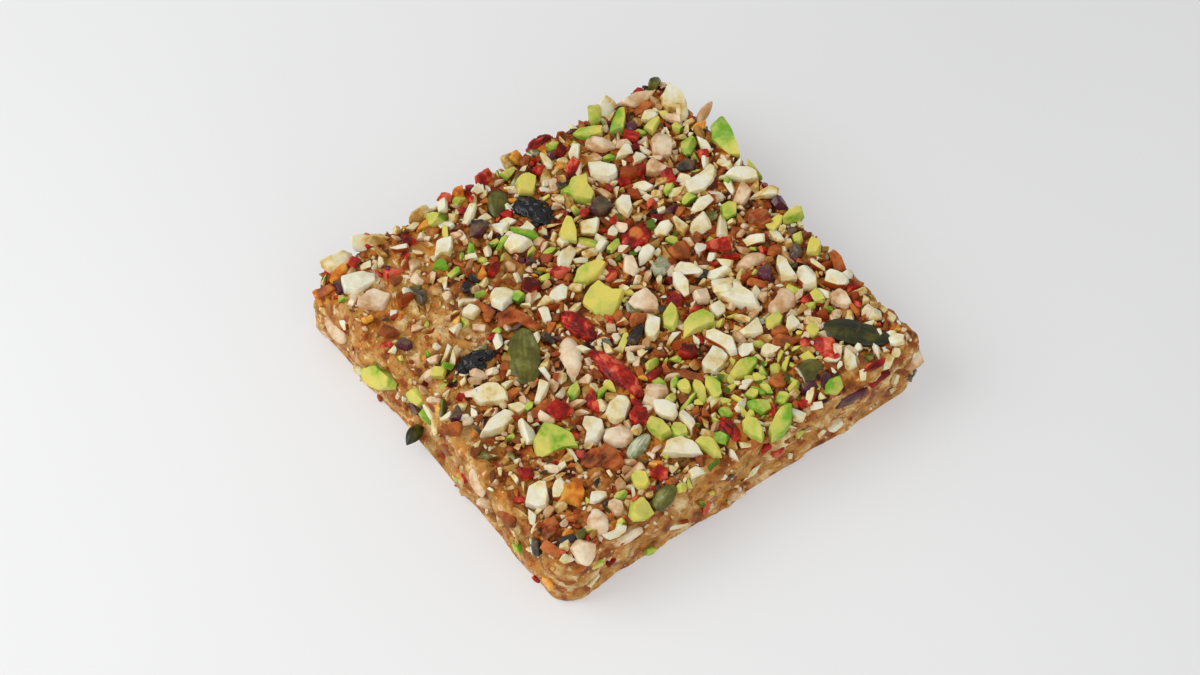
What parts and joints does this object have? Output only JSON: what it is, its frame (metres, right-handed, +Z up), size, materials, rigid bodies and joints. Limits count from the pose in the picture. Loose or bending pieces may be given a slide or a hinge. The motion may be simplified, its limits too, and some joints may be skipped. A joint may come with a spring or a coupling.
{
  "type": "granola bar",
  "caption": "Square granola bar: a flat slab of fruit and nut dough topped with seeds, dried berries and chopped nuts.",
  "frame": {"origin": "middle of the flat underside of the bar's bounding box", "axes": "+Z up through the thickness, +X along the slightly longer side, +Y along the other side"},
  "size_m": [0.0948, 0.0878, 0.0172],
  "materials": {
    "dough": "sticky, slightly glossy pressed fruit and nut dough, golden tan",
    "pumpkin_seed": "satin olive to dark green seed skin",
    "goji_berry": "wrinkled dried red berry skin, satin",
    "blueberry": "wrinkled blue-black dried berry skin",
    "pistachio": "cut pistachio, light green to yellow, matte",
    "almond": "cut blanched almond, cream, matte",
    "sunflower_kernel": "smooth beige kernel, satin",
    "almond_skin": "brown ribbed almond skin, matte",
    "apricot": "dried apricot, orange, slightly translucent"
  },
  "bodies": {
    "root": {"almond_1": "almond", "almond_10": "almond", "almond_11": "almond", "almond_12": "almond", "almond_13": "almond", "almond_14": "almond", "almond_15": "almond", "almond_2": "almond", "almond_3": "almond", "almond_4": "almond", "almond_5": "almond", "almond_6": "almond", "almond_7": "almond", "almond_8": "almond", "almond_9": "almond", "almond_skin_1": "almond_skin", "almond_skin_2": "almond_skin", "almond_skin_3": "almond_skin", "almond_skin_4": "almond_skin", "apricot_1": "apricot", "blueberry_1": "blueberry", "blueberry_2": "blueberry", "dough": "dough", "goji_berry_1": "goji_berry", "goji_berry_2": "goji_berry", "goji_berry_3": "goji_berry", "goji_berry_4": "goji_berry", "goji_berry_5": "goji_berry", "goji_berry_6": "goji_berry", "pistachio_1": "pistachio", "pistachio_10": "pistachio", "pistachio_11": "pistachio", "pistachio_12": "pistachio", "pistachio_2": "pistachio", "pistachio_3": "pistachio", "pistachio_4": "pistachio", "pistachio_5": "pistachio", "pistachio_6": "pistachio", "pistachio_7": "pistachio", "pistachio_8": "pistachio", "pistachio_9": "pistachio", "pumpkin_seed_1": "pumpkin_seed", "pumpkin_seed_2": "pumpkin_seed", "pumpkin_seed_3": "pumpkin_seed", "pumpkin_seed_4": "pumpkin_seed", "pumpkin_seed_5": "pumpkin_seed", "pumpkin_seed_6": "pumpkin_seed", "pumpkin_seed_7": "pumpkin_seed", "sunflower_kernel_1": "sunflower_kernel", "sunflower_kernel_10": "sunflower_kernel", "sunflower_kernel_2": "sunflower_kernel", "sunflower_kernel_3": "sunflower_kernel", "sunflower_kernel_4": "sunflower_kernel", "sunflower_kernel_5": "sunflower_kernel", "sunflower_kernel_6": "sunflower_kernel", "sunflower_kernel_7": "sunflower_kernel", "sunflower_kernel_8": "sunflower_kernel", "sunflower_kernel_9": "sunflower_kernel"}
  },
  "joints": []
}
